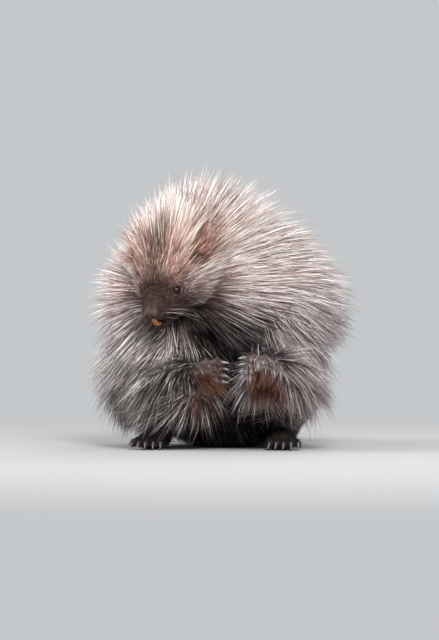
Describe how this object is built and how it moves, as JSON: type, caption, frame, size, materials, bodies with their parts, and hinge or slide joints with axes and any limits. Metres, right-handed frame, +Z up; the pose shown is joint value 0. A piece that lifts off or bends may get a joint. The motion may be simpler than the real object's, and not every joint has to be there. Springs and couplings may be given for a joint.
{
  "type": "sitting north american porcupine",
  "caption": "Life-size still model of a porcupine sitting on its haunches, head bowed to its right and both forepaws held together in front of its belly.",
  "frame": {"origin": "on the floor, under the middle of the model's bounding box", "axes": "+Z up; the animal's chest faces -Y and its tail lies along +Y, with its left side at +X"},
  "size_m": [0.356, 0.4826, 0.3741],
  "materials": {
    "coat": "long dark brown and silver hair",
    "crest": "long reddish brown and cream hair",
    "face": "short dark fur",
    "paw": "dark skin with short fur",
    "claw": "grey horn",
    "tooth": "orange enamel",
    "eye": "wet black"
  },
  "bodies": {
    "root": {"trunk": "coat", "neck": "crest", "tail": "coat", "head": "crest", "muzzle": "face", "jaw": "face", "ear_l": "face", "eye_l": "eye", "upper_arm_l": "coat", "forearm_l": "coat", "hand_l": "paw", "thigh_l": "coat", "shank_l": "coat", "foot_l": "paw", "claw_fore_l1": "claw", "claw_fore_l2": "claw", "claw_fore_l3": "claw", "claw_fore_l4": "claw", "claw_hind_l1": "claw", "claw_hind_l2": "claw", "claw_hind_l3": "claw", "claw_hind_l4": "claw", "claw_hind_l5": "claw", "ear_r": "face", "eye_r": "eye", "upper_arm_r": "coat", "forearm_r": "coat", "hand_r": "paw", "thigh_r": "coat", "shank_r": "coat", "foot_r": "paw", "claw_fore_r1": "claw", "claw_fore_r2": "claw", "claw_fore_r3": "claw", "claw_fore_r4": "claw", "claw_hind_r1": "claw", "claw_hind_r2": "claw", "claw_hind_r3": "claw", "claw_hind_r4": "claw", "claw_hind_r5": "claw", "incisors_upper": "tooth", "incisors_lower": "tooth"}
  },
  "joints": []
}
